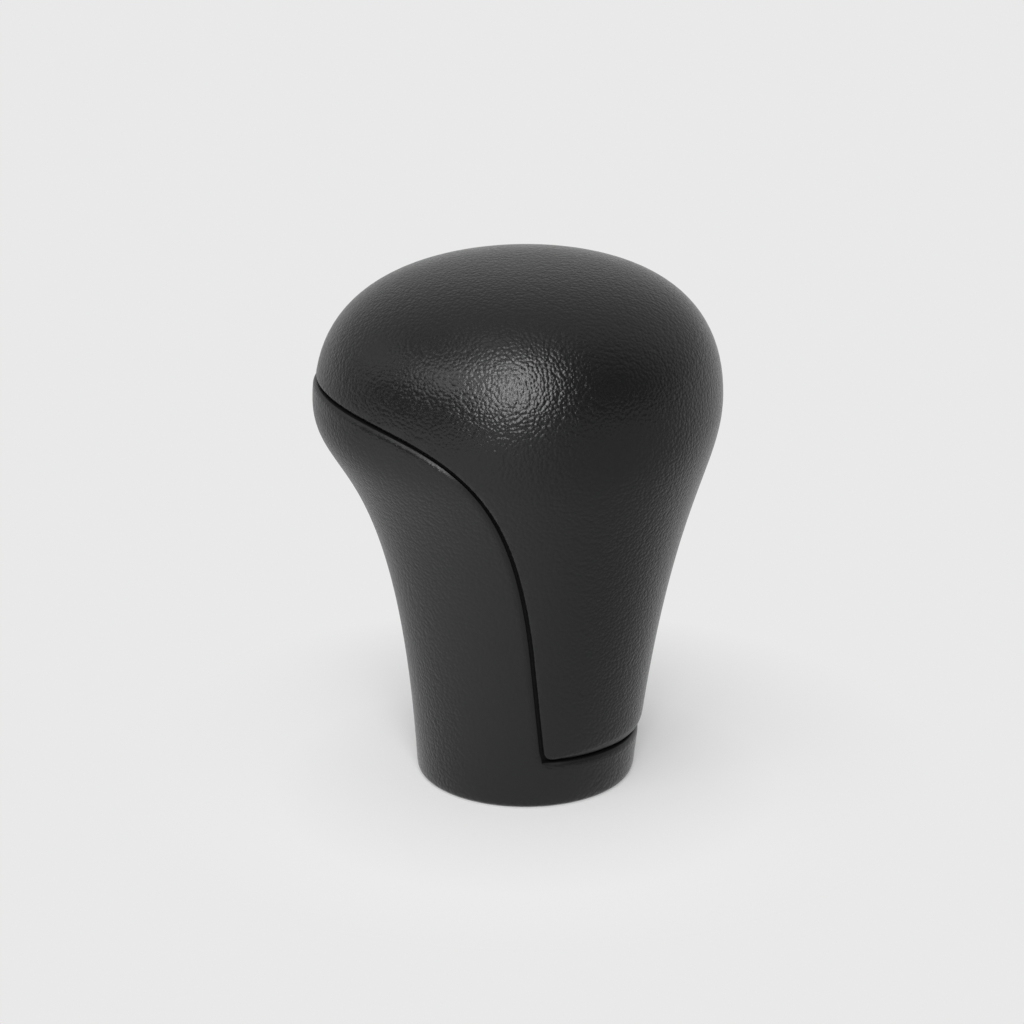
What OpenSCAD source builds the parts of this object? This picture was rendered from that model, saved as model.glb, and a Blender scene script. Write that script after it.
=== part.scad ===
// Gear shift knob: a lofted head on a tapering neck, split by an S-shaped seam into a front body
// with a collar and a cover that is the crown and the rear of the neck. A ribbed core inside holds
// a threaded insert for the lever, and four screws from below hold both mouldings to the core.
// Z runs up the lever's axis from the plane of the base. The body's panel faces -X.

/* [Knob] */
// Height from the base to the crown
overall_h = 80; // [76:0.5:86]
// Diameter of the collar at the base
base_d = 32.6; // [31.6:0.2:35]
// Reach of the head ahead of the lever's axis
head_front = 31.2; // [29:0.2:33]
// Reach of the head behind the lever's axis
head_rear = 28.8; // [27:0.2:31]
// Width of the head from side to side
head_w = 54; // [50:0.5:60]
// Height of the head's widest level
head_h = 59.4; // [57:0.2:62]
// Radius of the collar's bottom edge
base_round = 1; // [0.4:0.1:1.6]

/* [Neck and crown] */
// Height up to which the front of the neck stays slim
neck_front_h = 52; // [46:0.5:54]
// Outward lean of the front of the neck, per mm of height
neck_front_lean = 0.05; // [0.02:0.01:0.09]
// Roundness under the front of the head
under_front = 10.8; // [8:0.2:14]
// Height up to which the rear of the neck stays slim
neck_rear_h = 44; // [40:0.5:48]
// Outward lean of the rear of the neck, per mm of height
neck_rear_lean = 0.11; // [0.08:0.01:0.14]
// Roundness under the rear of the head
under_rear = 10.6; // [8:0.2:14]
// Height that the head's sides stay steep above the widest level
crown_side = 12.3; // [10:0.1:14]
// Share of the head's reach over which the crown stays flat
crown_flat = 0.735; // [0.6:0.005:0.8]

/* [Seam] */
// Height of the seam at the front of the head
seam_front_h = 63.2; // [61:0.2:64]
// Fall of the seam as it leaves the front, per mm
seam_fall = 0.17; // [0.08:0.01:0.2]
// Length over which the seam stays nearly level at the front
seam_level = 14.8; // [10:0.2:16]
// Height of the seam's bend where it meets its straight lower run
seam_bend_h = 24.4; // [20:0.2:28]
// Length over which the seam turns down the neck
seam_turn = 34.5; // [30:0.5:38]
// Rearward lean of the seam's lower run, per mm
seam_lean = 0.11; // [0.06:0.01:0.16]
// Place of the seam's foot behind the lever's axis
seam_foot_x = 0.2; // [-1.5:0.1:1]
// Height of the collar below the cover's foot
collar_h = 7.7; // [7.5:0.1:9]
// Width of the open groove between the two mouldings
seam_gap = 0.45; // [0.4:0.05:0.8]
// Radius of the cover's lower corner
seam_corner_r = 1.5; // [0.5:0.1:2.5]
// Rearward set of the cover against the body
seam_shift = 0.3; // [0:0.05:0.4]
// Depth of the groove, down to the body's tongue
lap_depth = 1.3; // [1.1:0.05:1.5]
// Length of the tongue behind the cover's edge
lap_l = 2.5; // [1.5:0.1:2.6]
// Clearance round the tongue
lap_clear = 0.15; // [0.1:0.01:0.2]

/* [Mouldings] */
// Wall of both mouldings
wall = 2.6; // [2.4:0.05:2.7]
// Depth of the recess in the base
recess_h = 5.5; // [4.5:0.1:6]
// Diameter of the screw bosses
boss_d = 5.6; // [5:0.1:5.8]
// Height of the screw bosses
boss_h = 10; // [9:0.5:14]
// Thickness of the web that ties a boss to its wall
boss_web = 2.4; // [1.6:0.1:3]
// Diameter of the circle that the bosses stand on
boss_circle_d = 21.6; // [21.2:0.1:22]
// Height of the locating ring under the crown
ring_h = 8; // [6:0.5:10]
// Wall of the locating ring
ring_wall = 1.8; // [1.4:0.1:2.4]

/* [Core] */
// Thickness of the core's floor
floor_t = 4.4; // [4:0.1:5]
// Clearance between the floor and the collar
floor_clear = 0.2; // [0.1:0.05:0.3]
// Wall of the tube round the insert
tube_wall = 1.4; // [1.2:0.1:1.5]
// Diameter of the clearance for the lever's end above the insert
lever_clear_d = 10.6; // [10.4:0.1:11]
// Height to which the clearance for the lever's end reaches
lever_top_h = 36; // [32:0.5:40]
// Thickness of the core's four webs
web_t = 2; // [1.6:0.1:2.6]
// Reach of the webs from the axis in the neck
web_reach = 12.8; // [12:0.1:13.2]
// Height at which the webs start to narrow
web_shoulder_h = 42; // [38:0.5:46]
// Diameter of the spigot that the cover is centred on
spigot_d = 16; // [14:0.2:18]
// Length of the spigot inside the locating ring
spigot_l = 6; // [4:0.2:6.6]
// Clearance between the spigot and the ring
spigot_clear = 0.2; // [0.1:0.05:0.3]
// Gap above the spigot, under the crown
crown_clear = 2; // [1.4:0.1:3]

/* [Threaded insert] */
// Outer diameter over the knurl
insert_d = 12.6; // [12:0.1:12.8]
// Length of the insert
insert_l = 18; // [14:0.5:20]
// Diameter of the tapped bore inside its thread
thread_core_d = 8.5; // [8.4:0.05:8.7]
// Lead-in chamfer at both mouths of the bore
thread_chamfer = 0.8; // [0.4:0.1:1.2]
// Depth of the knurl
knurl_depth = 0.35; // [0.2:0.05:0.5]
// Teeth round the knurl
knurl_count = 32; // [24:1:40]
// Width of the groove that locks the insert
lock_groove = 3; // [2:0.2:4]

/* [Screws] */
// Outer diameter of the self-tapping screws' shank
screw_d = 2.3; // [2:0.05:2.35]
// Pilot hole in the bosses
pilot_d = 2.4; // [2.4:0.05:2.6]
// Clearance hole in the core's floor
screw_hole_d = 3.2; // [3:0.1:3.4]
// Length under the head
screw_l = 9.5; // [8:0.5:11]
// Diameter of the head
screw_head_d = 5.2; // [4.8:0.1:5.4]
// Height of the head
screw_head_h = 1.8; // [1.4:0.1:2]
// Clearance round the head in its counterbore
head_clear = 0.2; // [0.1:0.05:0.3]
// Width of the cross recess
cross_w = 0.9; // [0.7:0.05:1]
// Length of the cross recess
cross_l = 3; // [2.6:0.1:3.4]
// Depth of the cross recess
cross_depth = 1; // [0.8:0.1:1.2]

/* [Hidden] */

outer_mesh = [48, 14, 12]; // sections round the outer form, rings up the neck, rings over the crown
inner_mesh = [30, 9, 7];   // the same for the forms inside it
round_rings = 3;           // rings round the collar's bottom edge
seam_steps = 22;           // straight steps along the seam's curve
reach_out = 60;            // half size of the cutting shapes, beyond the knob
spill = 1;                 // how far a cut runs past the solid that it cuts

base_r = base_d / 2;
head_ratio = head_w / (head_front + head_rear);
floor_top = recess_h + floor_t;
recess_r = base_r - wall;
boss_circle_r = boss_circle_d / 2;
boss_root = 0.6 * lap_depth;
head_seat_h = recess_h + screw_head_h + head_clear;
tube_r = insert_d / 2 + tube_wall;
ring_in_r = spigot_d / 2 + spigot_clear;
ring_top = overall_h - wall / 2;
ring_foot = overall_h - wall - ring_h;
spigot_top = overall_h - wall - crown_clear;
spigot_foot = spigot_top - spigot_l;

// Point of a cubic curve through four control points
function bezier(p, t) =
    pow(1 - t, 3) * p[0] + 3 * pow(1 - t, 2) * t * p[1] + 3 * (1 - t) * t * t * p[2] + pow(t, 3) * p[3];

// Direction of the same curve
function bezier_slope(p, t) =
    3 * pow(1 - t, 2) * (p[1] - p[0]) + 6 * (1 - t) * t * (p[2] - p[1]) + 3 * t * t * (p[3] - p[2]);

// Control points of one side's profile: the neck for t from 0 to 1, the crown from 1 to 2
function neck_curve(reach, slim_h, lean, under) =
    [[base_r, 0], [base_r + lean * slim_h, slim_h], [reach, head_h - under], [reach, head_h]];
function crown_curve(reach) =
    [[reach, head_h], [reach, head_h + crown_side], [crown_flat * reach, overall_h], [0, overall_h]];

// Point of a profile, set inwards by depth along its normal
function inset_point(p, t, depth) =
    let (s = bezier_slope(p, t), n = [-s[1], s[0]] / norm(s)) bezier(p, t) + depth * n;
function profile(reach, slim_h, lean, under, t, depth) =
    t <= 1 ? inset_point(neck_curve(reach, slim_h, lean, under), t, depth)
           : inset_point(crown_curve(reach), t - 1, depth);
function front_point(t, depth) = profile(head_front, neck_front_h, neck_front_lean, under_front, t, depth);
function rear_point(t, depth) = profile(head_rear, neck_rear_h, neck_rear_lean, under_rear, t, depth);

// Width over length of a section: round at the collar, head_ratio from the head upwards
function section_ratio(t) = let (s = min(t, 1)) 1 + (head_ratio - 1) * s * s * (3 - 2 * s);

// A closed ring of n points through a front and a rear profile point, as wide as ratio asks
function ring(n, front, rear, ratio) =
    let (f = [-front[0], front[1]], mid = (f + rear) / 2, half = (rear - f) / 2, w = norm(half) * ratio)
    [for (i = [0 : n - 1]) let (a = 360 * i / n)
        [mid[0] + half[0] * cos(a), w * sin(a), mid[1] + half[1] * cos(a)]];

// Rings of the collar's rounded bottom edge, or one ring below the base for an inner form
function foot_rings(n, depth) =
    depth > 0
    ? [ring(n, [base_r - depth, -spill], [base_r - depth, -spill], 1)]
    : [for (i = [0 : round_rings - 1]) let (a = 90 * i / round_rings, r = base_r - base_round * (1 - sin(a)))
        ring(n, [r, base_round * (1 - cos(a))], [r, base_round * (1 - cos(a))], 1)];

// Parameter of each ring above the foot; the outer form starts where the rounding ends
function loft_steps(neck, crown, depth) =
    concat([depth > 0 ? 0 : base_round / neck_front_h / 2], [for (i = [1 : neck]) i / neck],
           [for (i = [1 : crown - 1]) 1 + sin(90 * i / crown)]);

// The knob's outer form, set inwards by depth
module knob_form(depth) {
    mesh = depth > 0 ? inner_mesh : outer_mesh;
    n = mesh[0];
    rings = concat(foot_rings(n, depth),
                   [for (t = loft_steps(mesh[1], mesh[2], depth))
                       ring(n, front_point(t, depth), rear_point(t, depth), section_ratio(t))]);
    last = len(rings) - 1;
    points = concat([for (r = rings, p = r) p], [[0, 0, overall_h - depth]]);
    walls = [for (i = [0 : last - 1], j = [0 : n - 1])
        let (k = (j + 1) % n, a = i * n, b = a + n)
        each [[a + j, b + j, b + k], [a + j, b + k, a + k]]];
    crown = [for (j = [0 : n - 1]) [last * n + j, len(points) - 1, last * n + (j + 1) % n]];
    polyhedron(points, concat([[for (j = [0 : n - 1]) j]], walls, crown));
}

// Seam in side view: from the front of the head, down the neck to its foot, and back over the collar
function seam_curve() =
    let (bend = [seam_foot_x - seam_lean * (seam_bend_h - collar_h), seam_bend_h],
         start = [-head_front - 2, seam_front_h])
    [start, start + seam_level * [1, -seam_fall], bend + seam_turn * [-seam_lean, 1], bend];

// The body's side of the seam, grown by grow
module body_side(grow) {
    curve = [for (i = [0 : seam_steps]) bezier(seam_curve(), i / seam_steps)];
    offset(delta = grow)
        polygon(concat([[-reach_out, seam_front_h]], curve,
                       [[seam_foot_x, collar_h], [reach_out, collar_h],
                        [reach_out, -reach_out], [-reach_out, -reach_out]]));
}

// The cover's side of the seam, with its lower corner rounded
module cover_side() {
    offset(r = seam_corner_r, $fn = 32)
        offset(delta = -seam_corner_r)
            difference() {
                translate([-reach_out + spill, -reach_out + spill]) square([2 * (reach_out - spill), 3 * reach_out]);
                body_side(seam_gap / 2);
            }
}

// A side view pushed right through the knob
module through() rotate([90, 0, 0]) linear_extrude(height = 2 * reach_out, center = true) children();

// Everything from a level upwards
module above(level) translate([-reach_out, -reach_out, level]) cube(2 * reach_out);

// Places on the boss circle: side is 1 for the cover, behind the axis, and -1 for the body; hand is 1 or -1
module at_boss(side, hand)
    translate([side * boss_circle_r * cos(45), hand * boss_circle_r * sin(45), 0]) children();

// A pair of screw bosses and the webs that run from them into their wall, from web_foot upwards
module bosses(side, web_foot) {
    difference() {
        intersection() {
            knob_form(boss_root);
            for (hand = [-1, 1]) {
                at_boss(side, hand) translate([0, 0, floor_top]) cylinder(d = boss_d, h = boss_h, $fn = 48);
                rotate([0, 0, side > 0 ? hand * 45 : hand * 135])
                    translate([boss_circle_r, -boss_web / 2, web_foot])
                        cube([base_r, boss_web, floor_top + boss_h - web_foot]);
            }
        }
        for (hand = [-1, 1]) at_boss(side, hand) translate([0, 0, floor_top - spill])
            cylinder(d = pilot_d, h = boss_h - pilot_d / 2 + spill, $fn = 32);
    }
}

module grip_body() color([0.17, 0.17, 0.18]) {
    difference() {
        union() {
            intersection() {
                knob_form(0);
                through() body_side(-seam_gap / 2);
            }
            intersection() {
                knob_form(lap_depth);
                through() body_side(lap_l);
                above(base_round);
            }
        }
        intersection() {
            knob_form(wall);
            above(recess_h);
        }
        translate([0, 0, -spill]) cylinder(r = recess_r, h = recess_h + 2 * spill, $fn = 96);
    }
    bosses(-1, floor_top);
}

module top_cover() color([0.15, 0.15, 0.16]) {
    difference() {
        intersection() {
            translate([seam_shift, 0, 0]) knob_form(0);
            through() cover_side();
        }
        translate([seam_shift, 0, 0]) knob_form(wall);
        intersection() {
            knob_form(lap_depth - lap_clear);
            through() body_side(lap_l + lap_clear);
        }
    }
    bosses(1, collar_h + lap_l + 2 * lap_clear);
    translate([0, 0, ring_foot]) difference() {
        cylinder(r = ring_in_r + ring_wall, h = ring_top - ring_foot, $fn = 64);
        translate([0, 0, -spill]) cylinder(r = ring_in_r, h = ring_h + spill, $fn = 64);
    }
}

// One web pair of the core, as a plate through the axis
module web_pair(turn)
    rotate([90, 0, turn]) linear_extrude(height = web_t, center = true)
        polygon([[-web_reach, floor_top], [web_reach, floor_top], [web_reach, web_shoulder_h],
                 [spigot_d / 2, spigot_foot], [-spigot_d / 2, spigot_foot], [-web_reach, web_shoulder_h]]);

module core() color([0.3, 0.3, 0.32])
    difference() {
        union() {
            translate([0, 0, recess_h]) cylinder(r = recess_r - floor_clear, h = floor_t, $fn = 96);
            translate([0, 0, recess_h]) cylinder(r = tube_r, h = lever_top_h + tube_wall - recess_h, $fn = 72);
            translate([0, 0, spigot_foot]) cylinder(d = spigot_d, h = spigot_l, $fn = 72);
            for (turn = [0, 90]) web_pair(turn);
        }
        translate([0, 0, recess_h - spill]) cylinder(d = insert_d, h = insert_l + spill, $fn = 72);
        cylinder(d = lever_clear_d, h = lever_top_h, $fn = 64);
        for (side = [-1, 1], hand = [-1, 1]) at_boss(side, hand) {
            cylinder(d = screw_hole_d, h = floor_top + spill, $fn = 32);
            translate([0, 0, recess_h - spill])
                cylinder(d = screw_head_d + 2 * head_clear, h = head_seat_h - recess_h + spill, $fn = 48);
        }
    }

// Outline of the knurl: teeth that reach out to the insert's diameter
module knurl_outline()
    polygon([for (i = [0 : 2 * knurl_count - 1])
        let (a = 180 * i / knurl_count, r = insert_d / 2 - 0.02 - (i % 2) * knurl_depth) r * [cos(a), sin(a)]]);

module lever_insert() color([0.78, 0.63, 0.34]) {
    band = (insert_l - lock_groove) / 2;
    translate([0, 0, recess_h]) difference() {
        union() {
            for (z = [0, insert_l - band]) translate([0, 0, z]) linear_extrude(height = band) knurl_outline();
            cylinder(r = insert_d / 2 - 2 * knurl_depth, h = insert_l, $fn = 64);
        }
        translate([0, 0, -spill]) cylinder(d = thread_core_d, h = insert_l + 2 * spill, $fn = 64);
        translate([0, 0, -spill])
            cylinder(r1 = thread_core_d / 2 + thread_chamfer + spill, r2 = thread_core_d / 2,
                     h = thread_chamfer + spill, $fn = 64);
        translate([0, 0, insert_l - thread_chamfer])
            cylinder(r1 = thread_core_d / 2, r2 = thread_core_d / 2 + thread_chamfer + spill,
                     h = thread_chamfer + spill, $fn = 64);
    }
}

// A pan-head self-tapping screw, driven upwards from the recess
module screw() {
    edge = screw_head_h / 3;
    translate([0, 0, head_seat_h - screw_head_h]) difference() {
        rotate_extrude($fn = 64)
            polygon([[0, 0], [screw_head_d / 2 - edge, 0], [screw_head_d / 2, edge],
                     [screw_head_d / 2, screw_head_h], [screw_d / 2, screw_head_h],
                     [screw_d / 2, screw_head_h + screw_l - screw_d],
                     [0, screw_head_h + screw_l]]);
        for (turn = [0, 90]) rotate([0, 0, turn]) translate([-cross_l / 2, -cross_w / 2, -spill])
            cube([cross_l, cross_w, cross_depth + spill]);
    }
}

grip_body();
top_cover();
core();
lever_insert();
color("silver") at_boss(-1, -1) screw();  // body_screw_left
color("silver") at_boss(-1, 1) screw();  // body_screw_right
color("silver") at_boss(1, -1) screw();  // cover_screw_left
color("silver") at_boss(1, 1) screw();  // cover_screw_right
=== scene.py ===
"""Looks of a gear shift knob: two pebble-grained mouldings that meet in an S-shaped seam,
on a ribbed core with a threaded brass insert and four screws, on a pale floor.

Sizes are in millimetres here and become metres where a mesh is made.
"""

from __future__ import annotations

import logging
import math
from dataclasses import dataclass, field
from enum import Enum
from typing import Any, Callable, Sequence

import bmesh
import bpy
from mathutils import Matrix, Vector
from mathutils.bvhtree import BVHTree

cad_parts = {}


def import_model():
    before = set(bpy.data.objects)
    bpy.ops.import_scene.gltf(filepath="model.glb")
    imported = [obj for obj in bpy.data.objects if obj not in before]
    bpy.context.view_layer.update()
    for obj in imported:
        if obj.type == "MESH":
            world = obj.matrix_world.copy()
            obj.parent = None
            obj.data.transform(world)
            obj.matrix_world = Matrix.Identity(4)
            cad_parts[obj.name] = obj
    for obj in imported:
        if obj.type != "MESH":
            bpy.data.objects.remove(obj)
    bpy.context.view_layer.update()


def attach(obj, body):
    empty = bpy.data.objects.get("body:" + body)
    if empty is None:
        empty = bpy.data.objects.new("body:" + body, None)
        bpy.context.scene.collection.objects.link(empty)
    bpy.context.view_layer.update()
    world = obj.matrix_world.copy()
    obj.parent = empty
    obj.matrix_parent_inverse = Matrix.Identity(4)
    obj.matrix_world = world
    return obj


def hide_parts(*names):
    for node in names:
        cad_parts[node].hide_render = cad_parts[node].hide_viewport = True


log = logging.getLogger("shift_knob")

Body = bpy.types.Object
Point = tuple[float, float]
Point3 = tuple[float, float, float]
Colour = tuple[float, float, float, float]

MM = 0.001
QUARTER = math.pi / 2
AXIS: Point = (0.0, 0.0)
ROUND = 96  # sides of a round body, where nothing else is said
SAME_POINT = 0.0005  # points nearer than this are merged
ON_PLANE = 1e-8  # a point this near a cutting plane, in metres, lies on it
LEAST_TILT = 1e-6
SHARP = math.radians(30.0)  # an edge stays sharp from this angle on
PAST = 1.0  # how far a cutter reaches past what it cuts
HALVINGS = 46
SCREW_CIRCLE_R = 10.8
FLOOR_LOW = 5.5  # the core's floor, from its lower to its upper face
FLOOR_TOP = 9.9
GROUND_SHADE = 0.815


class Cut(Enum):
    """What a boolean step does with its second body."""

    REMOVE = "DIFFERENCE"
    KEEP = "INTERSECT"
    JOIN = "UNION"


class Side(Enum):
    """Which of the two mouldings a cut or a screw belongs to; the value is the sign of its side."""

    BODY = -1
    COVER = 1


def steps(first: float, last: float, count: int) -> list[float]:
    """Evenly spaced values from the first to the last, with both of them."""
    return [first + (last - first) * i / count for i in range(count + 1)]


def grey(tone: float) -> Colour:
    """An even grey."""
    return (tone, tone, tone, 1.0)


def disc(radius: float, low: float, high: float, low_edge: float, high_edge: float) -> list[Point]:
    """Half outline of a disc with a chamfer round each face, from the axis back to the axis."""
    foot = [(0, low), (radius - low_edge, low), (radius, low + low_edge)]
    return foot + [(radius, high - high_edge), (radius - high_edge, high), (0, high)]


def last_before(low: float, high: float, before: Callable[[float], bool]) -> float:
    """Finds by halving how far a test holds.

    Args:
        low: a value that passes it.
        high: a value that fails it.
        before: the test.

    Returns:
        The value between them at which it turns.
    """
    for _ in range(HALVINGS):
        middle = (low + high) / 2
        if before(middle):
            low = middle
        else:
            high = middle
    return (low + high) / 2


def curve_point(ends: Sequence[Vector], u: float, aside: float) -> Vector:
    """Point of a cubic curve, moved square to the curve.

    Args:
        ends: the curve's start, its two handles and its end.
        u: 0 at the start and 1 at the end.
        aside: how far the point is moved to the left of the curve's way.

    Returns:
        The point.
    """
    a, b, c, d = ends
    v = 1 - u
    point = a * v**3 + b * 3 * v**2 * u + c * 3 * v * u * u + d * u**3
    slope = ((b - a) * v**2 + (c - b) * 2 * v * u + (d - c) * u * u).normalized()
    return point + Vector((-slope.y, slope.x)) * aside


@dataclass(frozen=True)
class Noise:
    """The size of a noise's features, its octaves and the weight of the finer ones."""

    size_mm: float
    detail: float = 2.0
    roughness: float = 0.5


class Signal:
    """A node's output socket that adds Math nodes when it is used in an expression."""

    def __init__(self, shader: Shader, socket: bpy.types.NodeSocket) -> None:
        """Wraps a socket, with the shader that new nodes go into."""
        self.shader = shader
        self.socket = socket

    def _math(self, operation: str, *operands: Signal | float, clamp: bool = False) -> Signal:
        """Adds a Math node, with its inputs in order."""
        settings = {"operation": operation, "use_clamp": clamp}
        return self.shader.node("ShaderNodeMath", settings, dict(enumerate(operands)))

    def __add__(self, other: Signal | float) -> Signal:
        """Sum."""
        return self._math("ADD", self, other)

    def __radd__(self, other: float) -> Signal:
        """Sum with a number on the left."""
        return self._math("ADD", other, self)

    def __sub__(self, other: Signal | float) -> Signal:
        """Difference."""
        return self._math("SUBTRACT", self, other)

    def __rsub__(self, other: float) -> Signal:
        """Difference from a number on the left."""
        return self._math("SUBTRACT", other, self)

    def __mul__(self, other: Signal | float) -> Signal:
        """Product."""
        return self._math("MULTIPLY", self, other)

    def __rmul__(self, other: float) -> Signal:
        """Product with a number on the left."""
        return self._math("MULTIPLY", other, self)

    def __truediv__(self, other: Signal | float) -> Signal:
        """Quotient."""
        return self._math("DIVIDE", self, other)

    def __pow__(self, other: float) -> Signal:
        """Power."""
        return self._math("POWER", self, other)

    def clamped(self) -> Signal:
        """Holds the value between 0 and 1."""
        return self._math("ADD", self, 0.0, clamp=True)


class Shader:
    """The node tree of one material, or of the world."""

    def __init__(self, name: str, world: bool = False) -> None:
        """Starts an empty tree.

        Args:
            name: the material's name.
            world: whether it is the world's tree.
        """
        self.owner = (bpy.data.worlds if world else bpy.data.materials).new(name)
        self.owner.use_nodes = True
        self.tree = self.owner.node_tree
        self.tree.nodes.clear()
        self.output = self.tree.nodes.new("ShaderNodeOutputWorld" if world else "ShaderNodeOutputMaterial")

    def node(
        self,
        kind: str,
        settings: dict[str, Any] | None = None,
        inputs: dict[int | str, Any] | None = None,
        out: int | str = 0,
    ) -> Signal:
        """Adds any node.

        Args:
            kind: the node's type.
            settings: its attributes, which are set first.
            inputs: values or signals by socket index or name.
            out: index or name of the output that is returned.

        Returns:
            The chosen output.
        """
        made = self.tree.nodes.new(kind)
        for key, value in (settings or {}).items():
            setattr(made, key, value)
        for key, value in (inputs or {}).items():
            if isinstance(value, Signal):
                self.tree.links.new(value.socket, made.inputs[key])
            else:
                made.inputs[key].default_value = value
        return Signal(self, made.outputs[out])

    def place(self) -> Signal:
        """Object coordinates, in metres."""
        return self.node("ShaderNodeTexCoord", out="Object")

    def rays(self, kind: str) -> Signal:
        """1 for a ray of one kind, such as Is Camera Ray, and 0 for the rest."""
        return self.node("ShaderNodeLightPath", out=kind)

    def mirror(self) -> Signal:
        """1 for a ray that is seen in a reflection or through a clear body, and 0 for the rest."""
        seen = (self.rays("Is Glossy Ray") + self.rays("Is Transmission Ray")).clamped()
        return seen * (1.0 - self.rays("Is Camera Ray"))

    def noise(self, at: Signal, kind: Noise, out: str = "Fac") -> Signal:
        """Reads a noise.

        Args:
            at: where it is read.
            kind: its features.
            out: Fac for a value between 0 and 1, or Color for three of them.

        Returns:
            The noise.
        """
        size = {"Vector": at, "Scale": 1.0 / (kind.size_mm * MM)}
        octaves = {"Detail": kind.detail, "Roughness": kind.roughness}
        return self.node("ShaderNodeTexNoise", {}, size | octaves, out)

    def vector(self, operation: str, *operands: Signal | Sequence[float], out: str = "Vector") -> Signal:
        """Adds a Vector Math node, with its inputs in order."""
        return self.node("ShaderNodeVectorMath", {"operation": operation}, dict(enumerate(operands)), out)

    def blend(self, factor: Signal, low: Colour, high: Colour) -> Signal:
        """Mixes two colours."""
        return self.node("ShaderNodeMix", {"data_type": "RGBA"}, {"Factor": factor, 6: low, 7: high}, 2)

    def bump(self, height: Signal, depth_mm: float) -> Signal:
        """Turns a height between 0 and 1 into a normal."""
        inputs = {"Height": height, "Distance": depth_mm * MM, "Strength": 1.0}
        return self.node("ShaderNodeBump", {}, inputs, "Normal")

    def principled(self, inputs: dict[str, Any]) -> Signal:
        """Adds a Principled shader."""
        return self.node("ShaderNodeBsdfPrincipled", {}, inputs)

    def either(self, share: Signal, first: Signal, second: Signal) -> Signal:
        """Mixes two shaders; a share of 1 gives the second."""
        return self.node("ShaderNodeMixShader", {}, {0: share, 1: first, 2: second})

    def finish(self, surface: Signal) -> bpy.types.Material | bpy.types.World:
        """Links the surface to the output, and returns the material or the world."""
        self.tree.links.new(surface.socket, self.output.inputs["Surface"])
        return self.owner


@dataclass(frozen=True)
class GrainedPlastic:
    """Black moulding plastic with a fine pebble grain."""

    name: str = "grained_plastic"
    colour: Colour = (0.006, 0.006, 0.0062, 1.0)
    colour_high: Colour = (0.0078, 0.0078, 0.008, 1.0)
    dome_tint: float = 0.7
    patch_tint: float = 0.3
    roughness: float = 0.18
    mottle_rough: float = 0.08
    patch_rough: float = 0.04
    edge_rough: float = 0.14
    specular: float = 0.4
    inner_roughness: float = 0.62
    inner_mottle: float = 0.1
    inner_specular: float = 0.12
    inner_from_mm: float = 0.7
    inner_reach_mm: float = 0.4
    pebble_mm: float = 0.5
    pebble_soft: float = 0.35
    pebble_fall: float = 1.15
    pebble_power: float = 0.8
    warp: float = 0.55
    warp_size: float = 3.2
    mottle: Noise = Noise(0.22, 2.0, 0.6)
    patches: Noise = Noise(9.0)
    dome_share: float = 0.85
    mottle_share: float = 0.3
    grain_depth_mm: float = 0.08
    grain_reach_mm: float = 0.2
    grain_below: float = 0.08

    def _domes(self, shader: Shader, place: Signal) -> Signal:
        """Rounded pebbles of uneven outline.

        Args:
            shader: the material's shader.
            place: the point on the piece.

        Returns:
            Their height, between 0 and 1.
        """
        away = shader.noise(place, Noise(self.warp_size * self.pebble_mm, 1.0), "Color")
        moved = shader.vector("MULTIPLY_ADD", away, (self.warp * self.pebble_mm * MM,) * 3, place)
        cells = {"Vector": moved, "Scale": 1.0 / (self.pebble_mm * MM)}
        cells |= {"Smoothness": self.pebble_soft, "Randomness": 1.0}
        pebble = shader.node("ShaderNodeTexVoronoi", {"feature": "SMOOTH_F1"}, cells, "Distance")
        return (1.0 - pebble * self.pebble_fall).clamped() ** self.pebble_power

    def material(self) -> bpy.types.Material:
        """Builds the material.

        Returns:
            The material: pebbles and a fine mottle on the skin, and a matt face below it and inside.
        """
        shader = Shader(self.name)
        place = shader.place()
        domes = self._domes(shader, place)
        mottle, patches = (shader.noise(place, kind) for kind in (self.mottle, self.patches))
        depth = shader.node("ShaderNodeAttribute", {"attribute_name": "depth"}, out="Fac")
        skin = (1.0 - depth * (1.0 / self.grain_reach_mm)).clamped()
        grain = domes * self.dome_share + mottle * self.mottle_share
        height = grain * (skin * (1.0 - self.grain_below) + self.grain_below)
        tint = (domes * self.dome_tint + patches * self.patch_tint).clamped()
        colour = shader.blend(tint, self.colour, self.colour_high)
        rough = self.roughness + mottle * self.mottle_rough + patches * self.patch_rough
        outer = {
            "Base Color": colour,
            "Roughness": (rough + (1.0 - skin) * self.edge_rough).clamped(),
            "Specular IOR Level": self.specular,
            "Normal": shader.bump(height, self.grain_depth_mm),
        }
        inner = {
            "Base Color": colour,
            "Roughness": self.inner_roughness + mottle * self.inner_mottle,
            "Specular IOR Level": self.inner_specular,
        }
        share = ((depth - self.inner_from_mm) * (1.0 / self.inner_reach_mm)).clamped()
        return shader.finish(shader.either(share, shader.principled(outer), shader.principled(inner)))


@dataclass(frozen=True)
class SmoothPlastic:
    """Smooth hidden plastic of the core, with faint flow marks."""

    name: str = "core_plastic"
    colour: Colour = (0.032, 0.032, 0.035, 1.0)
    colour_high: Colour = (0.05, 0.05, 0.055, 1.0)
    roughness: float = 0.37
    flow_rough: float = 0.12
    flow: Noise = Noise(4.0, 3.0, 0.6)
    fibres: Noise = Noise(0.35, 2.0, 0.7)
    fibre_depth_mm: float = 0.012

    def material(self) -> bpy.types.Material:
        """Builds the material.

        Returns:
            The material, with flow marks in its colour and roughness.
        """
        shader = Shader(self.name)
        place = shader.place()
        flow, fibres = (shader.noise(place, kind) for kind in (self.flow, self.fibres))
        surface = {
            "Base Color": shader.blend(flow, self.colour, self.colour_high),
            "Roughness": (self.roughness + flow * self.flow_rough).clamped(),
            "Normal": shader.bump(fibres, self.fibre_depth_mm),
        }
        return shader.finish(shader.principled(surface))


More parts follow.
